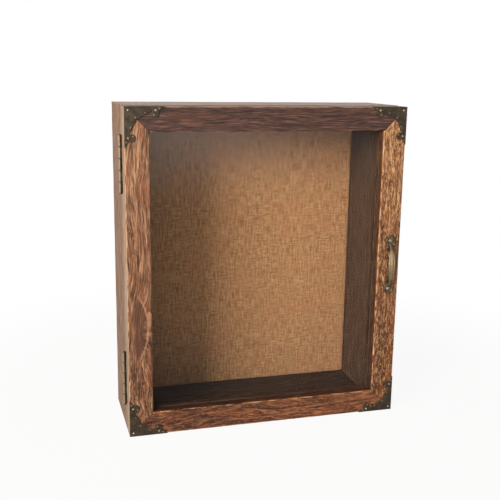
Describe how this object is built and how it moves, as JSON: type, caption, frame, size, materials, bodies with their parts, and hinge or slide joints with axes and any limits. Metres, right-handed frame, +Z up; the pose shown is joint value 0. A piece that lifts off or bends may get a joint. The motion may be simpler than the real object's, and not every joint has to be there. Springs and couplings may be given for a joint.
{
  "type": "display case",
  "caption": "Shallow mitred wooden wall display case with a linen-covered pin board and a left-hinged glazed door with antique bronze corner plates and a bow pull.",
  "frame": {"origin": "centre of the case's bottom face, without the door", "axes": "+X to the right as the viewer faces the door, +Y to the back, +Z up"},
  "size_m": [0.2997, 0.1141, 0.34],
  "materials": {
    "case_wood": "dark stained, wire brushed",
    "door_wood": "torched and stained, wire brushed, matt",
    "bead_wood": "dark stained",
    "plywood": "bare plywood",
    "soft_board": "soft fibre board",
    "linen": "plain woven linen, tan",
    "glass": "clear float glass",
    "antique_bronze": "antique bronze, rubbed on the high spots",
    "nail_steel": "nickel-plated domed heads, worn",
    "zinc_steel": "zinc plated",
    "pad_rubber": "soft black rubber"
  },
  "bodies": {
    "case": {"case_left_side": "case_wood", "case_right_side": "case_wood", "case_top_board": "case_wood", "case_bottom_board": "case_wood", "case_corner_brads": "zinc_steel", "back_board": "plywood", "back_board_screws": "zinc_steel", "pin_board": "soft_board", "linen_cover": "linen", "left_keyhole_hanger": "zinc_steel", "right_keyhole_hanger": "zinc_steel", "hanger_screws": "zinc_steel", "upper_hinge_case_leaf": "antique_bronze", "lower_hinge_case_leaf": "antique_bronze", "upper_hinge_pin": "antique_bronze", "lower_hinge_pin": "antique_bronze", "case_hinge_screws": "antique_bronze", "catch_magnets": "zinc_steel", "bumper_pads": "pad_rubber"},
    "door": {"door_left_stile": "door_wood", "door_right_stile": "door_wood", "door_top_rail": "door_wood", "door_bottom_rail": "door_wood", "door_v_nails": "zinc_steel", "glass_pane": "glass", "glass_bead_left": "bead_wood", "glass_bead_right": "bead_wood", "glass_bead_top": "bead_wood", "glass_bead_bottom": "bead_wood", "glass_bead_pins": "zinc_steel", "corner_plate_top_left": "antique_bronze", "corner_plate_top_right": "antique_bronze", "corner_plate_bottom_left": "antique_bronze", "corner_plate_bottom_right": "antique_bronze", "corner_plate_nails": "nail_steel", "pull_handle": "antique_bronze", "pull_handle_screws": "antique_bronze", "upper_hinge_door_leaf": "antique_bronze", "lower_hinge_door_leaf": "antique_bronze", "door_hinge_screws": "antique_bronze", "strike_discs": "zinc_steel", "strike_screws": "zinc_steel"}
  },
  "joints": [
    {"name": "door_hinge", "type": "hinge", "parent": "case", "child": "door", "pos_m": [-0.15, -0.0423, 0.17], "axis": [0, 0, -1], "range_deg": [0, 180]}
  ]
}
